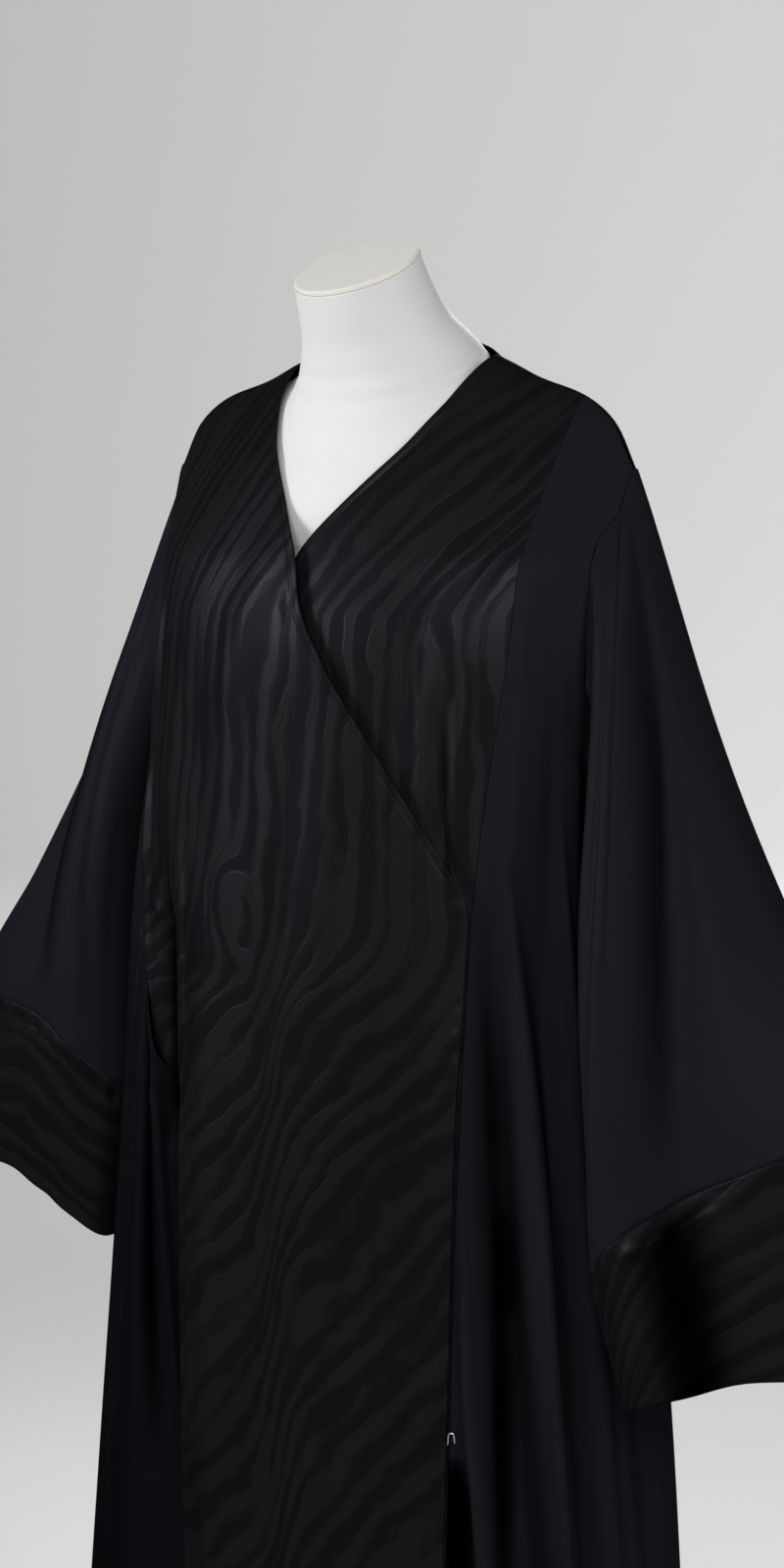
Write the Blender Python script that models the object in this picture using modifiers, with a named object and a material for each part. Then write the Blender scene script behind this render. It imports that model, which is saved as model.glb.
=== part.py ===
"""Open-front wrap abaya, standing on a limbless dress form.

Metres, +Z up. The wearer would face -Y, so the wearer's left is +X. The origin is the
centre of the stand's underside, on the floor. A turn is an angle in degrees round the
body: 0 at the centre front, 90 at the wearer's left, 180 at the centre back and -90 at
the wearer's right. A level is a height on the cloth, and above the chest line it stands
for a share of the way up to the shoulder ridge or the neckline.
"""

import math
from collections import namedtuple

import bmesh
import bpy
from mathutils import Matrix, Vector

# ---------------------------------------------------------------- driving dimensions
CLOTH = 0.0015            # wall of every cloth piece
SEAM_GAP = 0.0003         # air between two pieces at a seam
SEAM_INSET = 0.00040      # each panel stops this far short of its seam line
HEM = 0.050               # height of the hem above the floor
CHEST_LINE = 1.250        # below it the cloth hangs in rings, above it it bends to the ridge
YOKE = 0.170              # level units between the chest line and the shoulder ridge
RIDGE_DEPTH = 0.012       # the shoulder ridge lies this far behind the neck's centre
NECK_HALF = 0.100         # half the neckline's width at the shoulder ridge
BACK_NECK_DEPTH = 0.064   # the back neckline lies this much further back in its middle
RIGHT_SHOULDER = 0.08     # share by which the wearer's right shoulder sits further out
UNDERARM = 1.090          # lowest point of the armhole
ARMHOLE_TURN = 71.0       # the front armhole edge, seen from the body's axis
ARMHOLE_FLARE = 5.5       # how much further out it runs at the top of the shoulder

HOOK_LEVEL = 0.524        # the little hook on the wrap's edge
HOOK_WIRE = 0.0013

POLE_RADIUS = 0.0125
BASE_RADIUS = 0.170
BASE_THICKNESS = 0.008
TORSO_BOTTOM = 0.800
NECK_CAP_THICKNESS = 0.004

# The body of the cloth: its half width and how far it stands before and behind the axis.
Section = namedtuple("Section", "height centre half front back")
BODY = (
    Section(0.050, -0.020, 0.318, 0.212, 0.185),
    Section(0.250, -0.018, 0.303, 0.200, 0.170),
    Section(0.420, -0.016, 0.290, 0.190, 0.158),
    Section(0.700, -0.012, 0.269, 0.174, 0.146),
    Section(0.970, -0.007, 0.255, 0.160, 0.137),
    Section(1.100, -0.003, 0.249, 0.153, 0.134),
    Section(1.190, 0.000, 0.246, 0.148, 0.130),
    Section(1.250, 0.000, 0.247, 0.134, 0.125),
)

# The shoulder ridge, from the neck out to the armhole, across a shoulder of this half width.
SHOULDER_HALF = 0.250
Ridge = namedtuple("Ridge", "across height")
SHOULDER = (
    Ridge(0.000, 1.446),
    Ridge(0.100, 1.424),
    Ridge(0.145, 1.405),
    Ridge(0.193, 1.389),
    Ridge(0.222, 1.367),
    Ridge(0.238, 1.338),
    Ridge(0.247, 1.321),
)

# Seams and edges that run up the body, as turns at their levels.
Edge = namedtuple("Edge", "level turn")
WRAP_EDGE = (
    Edge(0.050, 36.5),
    Edge(0.420, 38.5),
    Edge(0.690, 40.0),
    Edge(0.800, 40.6),
    Edge(0.883, 41.8),
    Edge(0.972, 42.8),
    Edge(1.066, 26.5),
    Edge(1.152, 11.5),
    Edge(1.214, 2.5),
    Edge(1.257, 0.0),
    Edge(1.290, -6.5),
    Edge(1.340, -16.0),
    Edge(1.385, -22.0),
    Edge(1.420, -23.6),
)
UNDER_EDGE = (
    Edge(0.050, 4.0),
    Edge(0.470, -4.0),
    Edge(0.972, -9.0),
    Edge(1.152, -9.0),
    Edge(1.257, -1.5),
    Edge(1.300, 8.0),
    Edge(1.340, 16.0),
    Edge(1.380, 21.0),
    Edge(1.420, 23.6),
)
PRINCESS_LEFT = (
    Edge(0.050, 36.8),
    Edge(0.420, 38.8),
    Edge(0.690, 40.3),
    Edge(0.883, 42.1),
    Edge(0.970, 43.2),
    Edge(1.080, 46.5),
    Edge(1.190, 50.5),
    Edge(1.420, 50.5),
)
PRINCESS_RIGHT = (
    Edge(0.050, -14.0),
    Edge(0.470, -26.0),
    Edge(0.690, -32.0),
    Edge(0.755, -36.0),
    Edge(0.795, -44.0),
    Edge(0.880, -49.5),
    Edge(0.972, -58.5),
    Edge(1.020, -63.0),
    Edge(1.420, -63.0),
)

# Hanging folds, in order round the body. A ridge has a positive rise, a valley a negative
# one. Each spreads by its own width towards the centre front and away from it, and a bend
# above 1 makes it hang straighter near the hem.
Fold = namedtuple("Fold", "name top_turn hem_turn start full rise front_width back_width bend")
FOLDS = (
    Fold("right side hollow", -93.0, -93.0, 1.100, 0.900, -0.016, 22.0, 24.0, 1.0),
    Fold("right side ridge", -63.0, -66.0, 1.160, 0.900, 0.012, 12.0, 14.0, 1.0),
    Fold("right valley", -40.0, -13.5, 1.020, 0.800, -0.036, 7.0, 16.0, 1.0),
    Fold("right crest", -25.5, 1.5, 1.080, 0.850, 0.008, 12.0, 7.0, 1.0),
    Fold("edge pleat", 40.5, 54.0, 0.700, 0.450, 0.010, 2.5, 4.0, 1.0),
    Fold("edge valley", 47.0, 61.5, 0.990, 0.650, -0.022, 9.0, 4.5, 1.0),
    Fold("lit ridge", 49.5, 65.0, 1.050, 0.650, 0.020, 6.0, 3.0, 2.6),
    Fold("shallow valley", 58.5, 72.0, 1.000, 0.500, -0.010, 5.0, 6.0, 1.0),
    Fold("side ridge", 64.0, 80.0, 1.080, 0.600, 0.018, 9.0, 3.5, 1.0),
    Fold("side valley", 80.0, 102.0, 1.050, 0.500, -0.014, 10.0, 10.0, 1.0),
    Fold("back 1", 108.0, 120.0, 0.900, 0.400, 0.012, 13.0, 12.0, 1.0),
    Fold("back 2", 140.0, 144.0, 0.850, 0.350, -0.012, 14.0, 14.0, 1.0),
    Fold("back 3", 165.0, 166.0, 0.900, 0.400, 0.012, 13.0, 13.0, 1.0),
    Fold("back 4", 191.0, 192.0, 0.900, 0.400, -0.010, 13.0, 13.0, 1.0),
    Fold("back 5", 218.0, 218.0, 0.900, 0.400, 0.014, 13.0, 13.0, 1.0),
    Fold("back 6", 245.0, 243.0, 0.900, 0.400, -0.012, 13.0, 13.0, 1.0),
)

# Rows of points up the cloth.
SKIRT_LEVELS = (0.05, 0.24, 0.42, 0.57, 0.69, 0.79, 0.88, 0.93, 0.972, 1.02, 1.066)
CHEST_LEVELS = (1.09, 1.12, 1.152, 1.20, 1.25)
YOKE_LEVELS = (1.28, 1.31, 1.345, 1.375, 1.40, 1.42)
LEVELS = SKIRT_LEVELS + CHEST_LEVELS + YOKE_LEVELS
ARMHOLE_LEVELS = tuple(level for level in LEVELS if level >= UNDERARM)

# Sleeve sections from the armhole to the cuff's edge: the outer and inner ends of each
# flattened ring, and how far its front and back swell between them.
Ring = namedtuple("Ring", "reach outer inner front back drop")
SLEEVE = (
    Ring(0.00, (0.246, 0.012, 1.328), (0.266, 0.000, 1.080), 0.045, 0.050, 0.000),
    Ring(0.25, (0.288, 0.006, 1.205), (0.262, -0.018, 0.985), 0.084, 0.052, 0.004),
    Ring(0.50, (0.347, 0.000, 1.070), (0.262, -0.032, 0.880), 0.094, 0.056, 0.014),
    Ring(0.75, (0.422, -0.012, 0.940), (0.264, -0.042, 0.780), 0.086, 0.060, 0.030),
    Ring(1.00, (0.502, -0.025, 0.818), (0.266, -0.050, 0.700), 0.072, 0.064, 0.050),
    Ring(1.25, (0.556, -0.030, 0.640), (0.296, -0.052, 0.600), 0.060, 0.064, 0.050),
)
# The wearer's right sleeve hangs higher at its inner end and clears the fuller side there.
INNER_LIFT = {1: 0.000, -1: 0.096}
INNER_SHIFT = {1: 0.000, -1: 0.013}
CUFF_LIFT = {1: 0.000, -1: -0.055}
CUFF_SAG = {1: 0.014, -1: -0.007}
TUCK = {1: 0.000, -1: -0.006}
SHOULDER_OUT = {1: 0.000, -1: -0.004}
FRONT_SWELL = {1: 1.00, -1: 0.58}
FOLD_SHARE = {1: 1.00, -1: 0.25}
# Folds along a sleeve, as angles round it: 0 at the underarm, 90 in front, 180 on top.
SleeveFold = namedtuple("SleeveFold", "top cuff start full rise inner_width outer_width")
SLEEVE_FOLDS = (
    SleeveFold(126.0, 52.0, 0.02, 0.30, 0.012, 24.0, 24.0),
    SleeveFold(144.0, 84.0, 0.05, 0.40, -0.016, 28.0, 34.0),
    SleeveFold(230.0, 260.0, 0.20, 0.80, 0.014, 30.0, 30.0),
    SleeveFold(280.0, 300.0, 0.20, 0.80, -0.012, 25.0, 25.0),
)
SLEEVE_REACHES = (0.0, 0.05, 0.13, 0.23, 0.35, 0.48, 0.61, 0.74, 0.87, 1.0)
CUFF_REACHES = (1.0, 1.125, 1.25)
# Lines of points along a sleeve. Each runs from its row of the armhole, counted up the
# front and down the back, and the angles at the armhole and the cuff are given for some.
Line = namedtuple("Line", "row top cuff")
SLEEVE_LINES = (
    Line(0.0, 0.0, 0.0),
    Line(7.0, 126.0, 52.0),
    Line(8.0, 144.0, 84.0),
    Line(10.0, 180.0, 180.0),
    Line(13.0, 234.0, 250.0),
    Line(20.0, 360.0, 360.0),
)
SLEEVE_ROWS = tuple(range(8)) + (7.5, 8.0, 8.33, 8.67, 9.0, 9.33, 9.67) + tuple(range(10, 21))

# The dress form: torso rings below its shoulders, then the neck's tilted rings.
TorsoRing = namedtuple("TorsoRing", "height half front back")
TORSO = (
    TorsoRing(0.800, 0.160, 0.108, 0.118),
    TorsoRing(0.880, 0.172, 0.114, 0.124),
    TorsoRing(0.960, 0.158, 0.104, 0.112),
    TorsoRing(1.050, 0.122, 0.090, 0.088),
    TorsoRing(1.120, 0.135, 0.100, 0.092),
    TorsoRing(1.190, 0.158, 0.122, 0.100),
    TorsoRing(1.250, 0.175, 0.116, 0.098),
)
NeckRing = namedtuple("NeckRing", "height middle half front tilt")
NECK = (
    NeckRing(1.416, -0.006, 0.084, 0.070, 10.0),
    NeckRing(1.432, -0.014, 0.0745, 0.067, 13.0),
    NeckRing(1.450, -0.030, 0.064, 0.066, 17.0),
    NeckRing(1.474, -0.044, 0.058, 0.061, 22.0),
    NeckRing(1.498, -0.056, 0.0555, 0.057, 26.0),
)
FORM_CLEARANCE = 0.0072   # air between the form's shoulders and the cloth over them
BACK_CLEARANCE = 0.022    # and behind, where the cloth is steeper
# Rings from the chest up over the shoulders and in to the collar.
Step = namedtuple("Step", "inward upward")
SHOULDER_STEPS = (
    Step(-0.04, 0.35),
    Step(-0.05, 0.65),
    Step(-0.01, 0.90),
    Step(0.10, 1.00),
    Step(0.30, 1.00),
    Step(0.50, 1.00),
    Step(0.70, 1.00),
    Step(0.86, 1.00),
)


# ---------------------------------------------------------------- small tools
def mix(a, b, share):
    """The value a share of the way from a to b."""
    return a + (b - a) * share


def ease(share):
    """A soft step from 0 to 1."""
    share = min(max(share, 0.0), 1.0)
    return share * share * (3.0 - 2.0 * share)


def read(table, key, column, at, smooth=True):
    """A table's column at a place along its key, on a smooth curve or on straight lines."""
    keys = [getattr(row, key) for row in table]
    values = [getattr(row, column) for row in table]
    if at <= keys[0]:
        return values[0]
    if at >= keys[-1]:
        return values[-1]
    low = max(i for i, place in enumerate(keys) if place <= at)
    span = keys[low + 1] - keys[low]
    share = (at - keys[low]) / span
    if not smooth:
        return mix(values[low], values[low + 1], share)

    def slope(i):
        before, after = max(i - 1, 0), min(i + 1, len(keys) - 1)
        return (values[after] - values[before]) / (keys[after] - keys[before])

    start, end = slope(low) * span, slope(low + 1) * span
    step = values[low + 1] - values[low]
    bend = (start + end - 2 * step) * share + 3 * step - 2 * start - end
    return values[low] + (bend * share + start) * share


def bump(distance, near_width, far_width):
    """A rounded hill of height 1 at 0, down to 0 at its own width on each side."""
    width = near_width if distance < 0 else far_width
    reach = min(abs(distance) / width, 1.0)
    return math.cos(reach * math.pi / 2) ** 2


def material(name, colour, roughness, metallic=0.0):
    """A plain finish for one piece."""
    made = bpy.data.materials.new(name)
    made.use_nodes = True
    shader = made.node_tree.nodes["Principled BSDF"]
    shader.inputs["Base Color"].default_value = (*colour, 1.0)
    shader.inputs["Roughness"].default_value = roughness
    shader.inputs["Metallic"].default_value = metallic
    return made


def keep(name, mesh, finish, smooth_angle=40.0):
    """Puts a mesh in the model's collection under its node name."""
    made = bpy.data.objects.new(name, mesh)
    mesh.materials.append(finish)
    mesh.shade_smooth()
    mesh.set_sharp_from_angle(angle=math.radians(smooth_angle))
    collection.objects.link(made)
    return made


# ---------------------------------------------------------------- the cloth's surface
def fold_turn(fold, level):
    """Where a fold's crest or trough runs at a level."""
    share = min(max((level - HEM) / (fold.start - HEM), 0.0), 1.0)
    return mix(fold.hem_turn, fold.top_turn, share**fold.bend)


def fold_relief(turn, level):
    """How far the hanging folds push the cloth out from its plain section."""
    relief = 0.0
    for fold in FOLDS:
        if level >= fold.start:
            continue
        middle = fold_turn(fold, level)
        distance = (turn - middle + 180.0) % 360.0 - 180.0
        if middle < 0:
            distance = -distance
        growth = ease((fold.start - level) / (fold.start - fold.full))
        relief += fold.rise * growth * bump(distance, fold.front_width, fold.back_width)
    return relief


def yoke_ridge(across, behind):
    """Where the yoke's front or back meets the ridge, and how roundly it bends to it."""
    if not behind:
        return RIDGE_DEPTH - 0.002, mix(0.42, 0.85, min(across / 0.19, 1.0))
    hollow = max(1.0 - (across / NECK_HALF) ** 2, 0.0)
    return RIDGE_DEPTH + 0.002 + BACK_NECK_DEPTH * hollow, 0.62


def cloth_point(turn, level, out=0.0):
    """A point of the cloth, moved out along the section by a small distance."""
    height = min(level, CHEST_LINE)
    centre, half, front, back = (
        read(BODY, "height", column, height) for column in ("centre", "half", "front", "back")
    )
    angle = math.radians(turn)
    behind = math.cos(angle) < 0
    depth = back if behind else front
    x = centre + half * math.sin(angle)
    y = -depth * math.cos(angle)
    outward = Vector((math.sin(angle) / half, -math.cos(angle) / depth)).normalized()
    push = out + fold_relief(turn, level)
    x += outward.x * push
    y += outward.y * push
    if level <= CHEST_LINE:
        return Vector((x, y, level))
    share = (level - CHEST_LINE) / YOKE
    across = abs(math.sin(angle)) * SHOULDER_HALF
    crown = read(SHOULDER, "across", "height", across)
    ridge_y, bend = yoke_ridge(across, behind)
    if x < 0.0:
        x *= 1.0 + RIGHT_SHOULDER * share
    lean = (1.0 - share) ** bend
    return Vector((x, mix(ridge_y, y, lean), mix(height, crown, share) + out * share))


def yoke_height(x, y):
    """The height of the cloth over a place inside the yoke."""
    row = BODY[-1]
    behind = y > RIDGE_DEPTH
    sine = min(abs(x - row.centre) / row.half, 0.999)
    across = sine * SHOULDER_HALF
    base_y = math.sqrt(1.0 - sine * sine) * (row.back if behind else -row.front)
    ridge_y, bend = yoke_ridge(across, behind)
    lean = min(max((y - ridge_y) / (base_y - ridge_y), 0.0), 1.0)
    return mix(CHEST_LINE, read(SHOULDER, "across", "height", across), 1.0 - lean ** (1.0 / bend))


def armhole_turn(level):
    """The armhole's front edge, which runs under the arm to the side seam."""
    under = mix(90.0, ARMHOLE_TURN, math.sqrt(ease((level - UNDERARM) / 0.062)))
    return under + ARMHOLE_FLARE * ease((level - 1.285) / 0.065)


# ---------------------------------------------------------------- cloth pieces
def bent_grid(columns, rows, place, closed=False):
    """A grid of faces with each point moved to its place, given by column and row."""
    made = bmesh.new()
    bmesh.ops.create_grid(made, x_segments=columns, y_segments=rows, size=1.0)
    for vertex in made.verts:
        column = round((vertex.co.x + 1.0) / 2.0 * columns)
        row = round((vertex.co.y + 1.0) / 2.0 * rows)
        vertex.co = place(column, row)
    if closed:
        bmesh.ops.remove_doubles(made, verts=made.verts, dist=1e-6)
    return made


def wall(name, grid, finish, flip=False):
    """A cloth piece: an open surface given the cloth's thickness."""
    if flip:
        bmesh.ops.reverse_faces(grid, faces=grid.faces)
    mesh = bpy.data.meshes.new(name)
    grid.to_mesh(mesh)
    grid.free()
    made = keep(name, mesh, finish)
    thick = made.modifiers.new("cloth", "SOLIDIFY")
    thick.thickness = CLOTH
    thick.offset = 0.0
    thick.use_even_offset = True
    return made


def panel(name, first_edge, last_edge, spans, levels, finish, out=None):
    """A body panel between two edges, each a function that gives a turn at a level.

    Its lines of points run along the folds that cross it. Each span gives how many columns
    lead up to a fold, by the fold's name, and the last one leads up to the second edge.
    """
    folds = {fold.name: fold for fold in FOLDS}

    def turns(level):
        inset = math.degrees(SEAM_INSET / 0.25)
        found = [first_edge(level) + inset]
        end = last_edge(level) - inset
        for index, (count, fold_name) in enumerate(spans):
            start = found[-1]
            stop = fold_turn(folds[fold_name], level) if fold_name else end
            after = len(spans) - 1 - index
            stop = min(max(stop, start + 1.2), end - 1.2 * after)
            found += [mix(start, stop, (i + 1) / count) for i in range(count)]
        return found

    rows = [turns(level) for level in levels]

    def place(column, row):
        turn = rows[row][column]
        return cloth_point(turn, levels[row], out(turn, levels[row]) if out else 0.0)

    return wall(name, bent_grid(len(rows[0]) - 1, len(levels) - 1, place), finish)


def edge(table):
    """An edge's turn as a function of the level."""
    return lambda level: read(table, "level", "turn", level, smooth=False)


def wrap_out(turn, level):
    """The outer wrap lies on the layer below it, and joins its own side front flush."""
    lift = mix(0.0050, 0.0080, ease((level - 1.00) / 0.22))
    over = ease((turn - under_edge(level) + 16.0) / 12.0)
    settled = 1.0 - ease((level - CHEST_LINE) / 0.10)
    return lift * over * settled


def sleeve_point(angle, reach, side):
    """A point of a sleeve: angle 0 at the underarm, 90 in front, 180 on top, 270 behind."""
    outer, inner = (
        Vector([read_triple(name, axis, reach) for axis in range(3)])
        for name in ("outer", "inner")
    )
    front, back, drop = (
        read(SLEEVE, "reach", column, reach) for column in ("front", "back", "drop")
    )
    turned = math.radians(angle)
    along = (1.0 - math.cos(turned)) / 2.0
    swell = FRONT_SWELL[side] * front if angle < 180.0 else back
    skew = 1.0 + 0.35 * math.cos(turned)
    depth = swell * abs(math.sin(turned)) ** 0.8 * skew
    for fold in SLEEVE_FOLDS:
        middle = mix(fold.top, fold.cuff, ease(reach))
        growth = ease((reach - fold.start) / (fold.full - fold.start))
        hill = bump(angle - middle, fold.inner_width, fold.outer_width)
        depth += FOLD_SHARE[side] * fold.rise * growth * hill
    point = outer * along + inner * (1.0 - along)
    point.y += -depth if angle < 180.0 else depth
    point.z -= drop * max(math.cos(turned), 0.0) ** 2
    lift = INNER_LIFT[side] * ease(reach) + CUFF_LIFT[side] * ease((reach - 1.0) / 0.25)
    point.z += lift * (1.0 - along)
    point.x += INNER_SHIFT[side] * (1.0 - along) * ease(reach / 0.4)
    if angle < 180.0:
        point.z -= CUFF_SAG[side] * math.sin(turned) * ease((reach - 1.0) / 0.25)
    point.x -= TUCK[side] * along * math.sin(math.pi * min(reach, 1.0) ** 0.75)
    point.x += SHOULDER_OUT[side] * along * (1.0 - ease(reach / 0.4))
    return Vector((point.x * side, point.y, point.z))


def read_triple(column, axis, reach):
    """One coordinate of a sleeve ring's end."""
    Place = namedtuple("Place", "reach value")
    rows = [Place(ring.reach, getattr(ring, column)[axis]) for ring in SLEEVE]
    return read(rows, "reach", "value", reach)


def armhole_point(row, side):
    """A point just off the armhole's edge, by its row: up the front, then down the back."""
    count = len(ARMHOLE_LEVELS) - 1

    def at(index):
        level = ARMHOLE_LEVELS[index if index <= count else 2 * count - index]
        turn = armhole_turn(level) if index <= count else 180.0 - armhole_turn(level)
        lap = mix(0.0006, 0.0026, ease((1.22 - level) / 0.06))
        shift = Vector((side * 0.0010, 0.0, 0.0010 if level == UNDERARM else 0.0))
        return cloth_point(turn * side, level, lap) + shift

    low = min(int(row), 2 * count - 1)
    return at(low).lerp(at(low + 1), row - low)


def sleeve_tube(name, side, reaches, finish):
    """A stretch of one sleeve, from ring to ring. Its first ring follows the armhole."""

    def place(column, row):
        line = SLEEVE_ROWS[column]
        reach = reaches[row]
        turned = ease(min(reach, 1.0))
        angle = mix(
            read(SLEEVE_LINES, "row", "top", line, smooth=False),
            read(SLEEVE_LINES, "row", "cuff", line, smooth=False),
            turned,
        )
        if reaches[0] >= 1.0 and row == 0:
            reach += 0.0018
        free = sleeve_point(angle, reach, side)
        return armhole_point(line, side).lerp(free, ease(reach / 0.28))

    grid = bent_grid(len(SLEEVE_ROWS) - 1, len(reaches) - 1, place, closed=True)
    return wall(name, grid, finish, flip=side < 0)


# ---------------------------------------------------------------- dress form
def ring_loft(rings):
    """A closed solid through rings of equal point counts, with a flat cap at each end."""
    made = bmesh.new()
    loops = [[made.verts.new(point) for point in ring] for ring in rings]
    count = len(loops[0])
    for lower, upper in zip(loops, loops[1:]):
        for i in range(count):
            j = (i + 1) % count
            made.faces.new((lower[i], lower[j], upper[j], upper[i]))
    made.faces.new(list(reversed(loops[0])))
    made.faces.new(loops[-1])
    return made


def torso_ring(turns, half, front, back, height):
    """A level ring of the torso."""
    ring = []
    for turn in turns:
        angle = math.radians(turn)
        depth = front if math.cos(angle) > 0 else back
        ring.append(Vector((half * math.sin(angle), -depth * math.cos(angle), height)))
    return ring


def neck_ring(turns, row):
    """A ring of the neck, tilted down towards the front."""
    tilt = Matrix.Rotation(math.radians(row.tilt), 3, "X")
    ring = []
    for turn in turns:
        angle = math.radians(turn)
        flat = Vector((row.half * math.sin(angle), -row.front * math.cos(angle), 0.0))
        ring.append(Vector((0.0, row.middle, row.height)) + tilt @ flat)
    return ring


def make_torso(finish):
    """The padded torso with its neck, in one smooth solid."""
    turns = [i * 360.0 / 40 for i in range(40)]
    rings = [torso_ring(turns, r.half, r.front, r.back, r.height) for r in TORSO]
    chest, collar = rings[-1], neck_ring(turns, NECK[0])
    for step in SHOULDER_STEPS:
        ring = []
        for low, high in zip(chest, collar):
            place = low.lerp(high, step.inward)
            clearance = mix(FORM_CLEARANCE, BACK_CLEARANCE, ease((place.y - 0.01) / 0.03))
            under_cloth = yoke_height(place.x, place.y) - clearance
            top = mix(under_cloth, high.z, ease((step.inward - 0.80) / 0.20))
            place.z = mix(CHEST_LINE, top, step.upward)
            ring.append(place)
        rings.append(ring)
    rings += [neck_ring(turns, row) for row in NECK]
    loft = ring_loft(rings)
    mesh = bpy.data.meshes.new("form_torso")
    loft.to_mesh(mesh)
    loft.free()
    return keep("form_torso", mesh, finish)


def make_hook(finish):
    """A small hook of bent wire, sewn under the wrap's edge, with its bend uppermost."""
    edge_point = cloth_point(wrap_edge(HOOK_LEVEL), HOOK_LEVEL, 0.0055)
    across = cloth_point(wrap_edge(HOOK_LEVEL) + 2.0, HOOK_LEVEL, 0.0055) - edge_point
    across.normalize()
    curve = bpy.data.curves.new("hook", "CURVE")
    curve.dimensions = "3D"
    curve.bevel_depth = HOOK_WIRE / 2.0
    curve.bevel_resolution = 2
    curve.use_fill_caps = True
    wire = curve.splines.new("BEZIER")
    wire.resolution_u = 5
    wire.bezier_points.add(2)
    shape = ((-0.0031, -0.0105), (0.0, 0.0), (0.0031, -0.0085))
    for point, (sideways, upward) in zip(wire.bezier_points, shape):
        point.co = edge_point + across * (sideways + 0.0039) + Vector((0.0, 0.0, upward))
        point.handle_left_type = "AUTO"
        point.handle_right_type = "AUTO"
    source = bpy.data.objects.new("wire", curve)
    mesh = bpy.data.meshes.new_from_object(source)
    bpy.data.objects.remove(source)
    mesh.name = "hook"
    made = bmesh.new()
    made.from_mesh(mesh)
    bmesh.ops.remove_doubles(made, verts=made.verts, dist=1e-6)
    bmesh.ops.recalc_face_normals(made, faces=made.faces)
    made.to_mesh(mesh)
    made.free()
    return keep("hook", mesh, finish)


def make_neck_cap(finish):
    """The round cap that closes the neck, with a softened rim."""
    top = NECK[-1]
    made = bmesh.new()
    bmesh.ops.create_cone(
        made, cap_ends=True, segments=32, radius1=1.0, radius2=1.0, depth=NECK_CAP_THICKNESS
    )
    bmesh.ops.scale(made, vec=(top.half, top.front, 1.0), verts=made.verts)
    rim = [e for e in made.edges if all(v.co.z > 0 for v in e.verts) and len(e.link_faces) == 2]
    bmesh.ops.bevel(
        made, geom=rim, offset=0.0015, segments=2, profile=0.5, affect="EDGES", material=-1
    )
    lift = NECK_CAP_THICKNESS / 2.0 + SEAM_GAP
    bmesh.ops.translate(made, vec=(0.0, 0.0, lift), verts=made.verts)
    tilt = Matrix.Rotation(math.radians(top.tilt), 4, "X")
    bmesh.ops.transform(made, matrix=tilt, verts=made.verts)
    bmesh.ops.translate(made, vec=(0.0, top.middle, top.height), verts=made.verts)
    mesh = bpy.data.meshes.new("neck_cap")
    made.to_mesh(mesh)
    made.free()
    return keep("neck_cap", mesh, finish)


def make_stand(finish):
    """A round steel base and the pole that carries the torso."""
    bpy.ops.mesh.primitive_cylinder_add(
        vertices=64,
        radius=BASE_RADIUS,
        depth=BASE_THICKNESS,
        location=(0.0, 0.0, BASE_THICKNESS / 2.0),
    )
    base = bpy.context.object
    base.name = "stand_base"
    edge_round = base.modifiers.new("edge", "BEVEL")
    edge_round.width = 0.002
    edge_round.segments = 2
    base.data.materials.append(finish)
    length = TORSO_BOTTOM - BASE_THICKNESS - 2.0 * SEAM_GAP
    bpy.ops.mesh.primitive_cylinder_add(
        vertices=24,
        radius=POLE_RADIUS,
        depth=length,
        location=(0.0, 0.0, BASE_THICKNESS + SEAM_GAP + length / 2.0),
    )
    pole = bpy.context.object
    pole.name = "pole"
    pole.data.materials.append(finish)
    for made in (base, pole):
        made.data.shade_smooth()
        made.data.set_sharp_from_angle(angle=math.radians(40.0))
        for home in made.users_collection:
            home.objects.unlink(made)
        collection.objects.link(made)


# ---------------------------------------------------------------- the model
for old in list(bpy.data.objects):
    bpy.data.objects.remove(old)
collection = bpy.data.collections.new("wrap_abaya_on_dress_form")
bpy.context.scene.collection.children.link(collection)

jacquard = material("black striped jacquard", (0.012, 0.012, 0.014), 0.45)
crepe = material("black crepe", (0.008, 0.009, 0.011), 0.60)
form_cloth = material("white form cloth", (0.80, 0.80, 0.79), 0.85)
cap_card = material("cream cap", (0.78, 0.75, 0.69), 0.80)
steel = material("satin steel", (0.60, 0.60, 0.61), 0.35, 1.0)

wrap_edge, under_edge = edge(WRAP_EDGE), edge(UNDER_EDGE)
princess_left, princess_right = edge(PRINCESS_LEFT), edge(PRINCESS_RIGHT)

panel(
    "front_right",
    princess_right,
    wrap_edge,
    ((3, "right valley"), (4, "right crest"), (9, None)),
    LEVELS,
    jacquard,
    wrap_out,
)
panel("front_left", under_edge, princess_left, ((8, None),), LEVELS, jacquard)
panel(
    "side_front_left",
    princess_left,
    armhole_turn,
    (
        (2, "edge pleat"),
        (2, "edge valley"),
        (2, "lit ridge"),
        (2, "shallow valley"),
        (2, "side ridge"),
        (3, None),
    ),
    LEVELS,
    crepe,
)
panel(
    "side_front_right",
    lambda level: -armhole_turn(level),
    princess_right,
    ((4, "right side ridge"), (6, None)),
    LEVELS,
    crepe,
)
panel(
    "back",
    lambda level: 180.0 - armhole_turn(level),
    lambda level: 180.0 + armhole_turn(level),
    ((2, "side valley"),) + tuple((3, "back %d" % number) for number in range(1, 7)) + ((3, None),),
    LEVELS,
    crepe,
)
for side, word in ((1, "left"), (-1, "right")):
    sleeve_tube("sleeve_" + word, side, SLEEVE_REACHES, crepe)
    sleeve_tube("cuff_" + word, side, CUFF_REACHES, jacquard)

make_hook(steel)
make_torso(form_cloth)
make_neck_cap(cap_card)
make_stand(steel)
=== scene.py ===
"""A black wrap abaya with striped satin fronts and cuffs, worn by a limbless dress form."""

import math
from collections import namedtuple

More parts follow.
